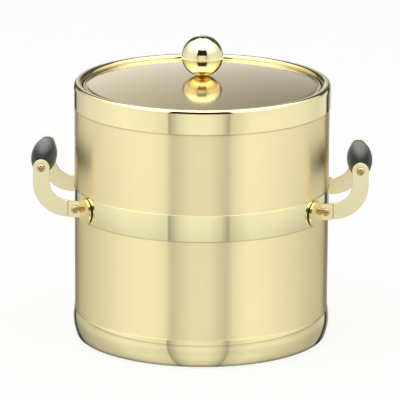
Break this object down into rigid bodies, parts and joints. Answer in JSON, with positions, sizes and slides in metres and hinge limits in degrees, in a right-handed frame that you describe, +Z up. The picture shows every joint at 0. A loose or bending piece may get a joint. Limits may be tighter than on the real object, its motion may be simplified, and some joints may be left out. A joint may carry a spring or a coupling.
{
  "type": "ice bucket",
  "caption": "Round double-walled metal ice bucket with polished bands, a domed lift-off lid with a ball knob, and hooked side handles with black barrel grips.",
  "frame": {"origin": "centre of the underside of the base pad, on the surface that the bucket stands on", "axes": "+X towards the right handle, which is the longest extent; +Y towards the back, the shortest extent; +Z up the bucket's axis"},
  "size_m": [0.268, 0.2026, 0.2403],
  "materials": {
    "satin_brass": "satin",
    "polished_brass": "polished",
    "brushed_brass": "satin",
    "liner_steel": "satin",
    "hardware_steel": "satin",
    "black_grip": "satin",
    "black_rubber": "matte",
    "cream_foam": "matte"
  },
  "bodies": {
    "bucket": {"outer_shell": "satin_brass", "base_band": "polished_brass", "middle_band": "polished_brass", "rim_band": "polished_brass", "inner_liner": "liner_steel", "wall_insulation": "cream_foam", "floor_insulation": "cream_foam", "base_plate": "hardware_steel", "base_pad": "black_rubber", "bracket_washers": "hardware_steel", "bracket_nuts": "hardware_steel", "pivot_screws": "polished_brass", "pivot_washers": "hardware_steel", "pivot_nuts": "hardware_steel", "right_back_bracket": "polished_brass", "right_back_bracket_pad": "black_rubber", "right_front_bracket": "polished_brass", "right_front_bracket_pad": "black_rubber", "left_back_bracket": "polished_brass", "left_back_bracket_pad": "black_rubber", "left_front_bracket": "polished_brass", "left_front_bracket_pad": "black_rubber"},
    "lid": {"lid_cover": "brushed_brass", "lid_pan": "liner_steel", "lid_insulation": "cream_foam", "lid_knob": "polished_brass", "knob_washer": "hardware_steel", "knob_screw": "hardware_steel"},
    "right_handle": {"right_front_arm": "satin_brass", "right_back_arm": "satin_brass", "right_grip": "black_grip", "right_grip_rod": "hardware_steel", "right_grip_screws": "polished_brass"},
    "left_handle": {"left_front_arm": "satin_brass", "left_back_arm": "satin_brass", "left_grip": "black_grip", "left_grip_rod": "hardware_steel", "left_grip_screws": "polished_brass"}
  },
  "joints": [
    {"name": "lid_lift", "type": "slide", "parent": "bucket", "child": "lid", "axis": [0, 0, 1], "range_m": [0, 0.15]},
    {"name": "right_handle_pivot", "type": "hinge", "parent": "bucket", "child": "right_handle", "pos_m": [0.0975, 0, 0.1102], "axis": [0, 1, 0], "range_deg": [-21, 60]},
    {"name": "left_handle_pivot", "type": "hinge", "parent": "bucket", "child": "left_handle", "pos_m": [-0.0975, 0, 0.1102], "axis": [0, -1, 0], "range_deg": [-21, 60]}
  ]
}
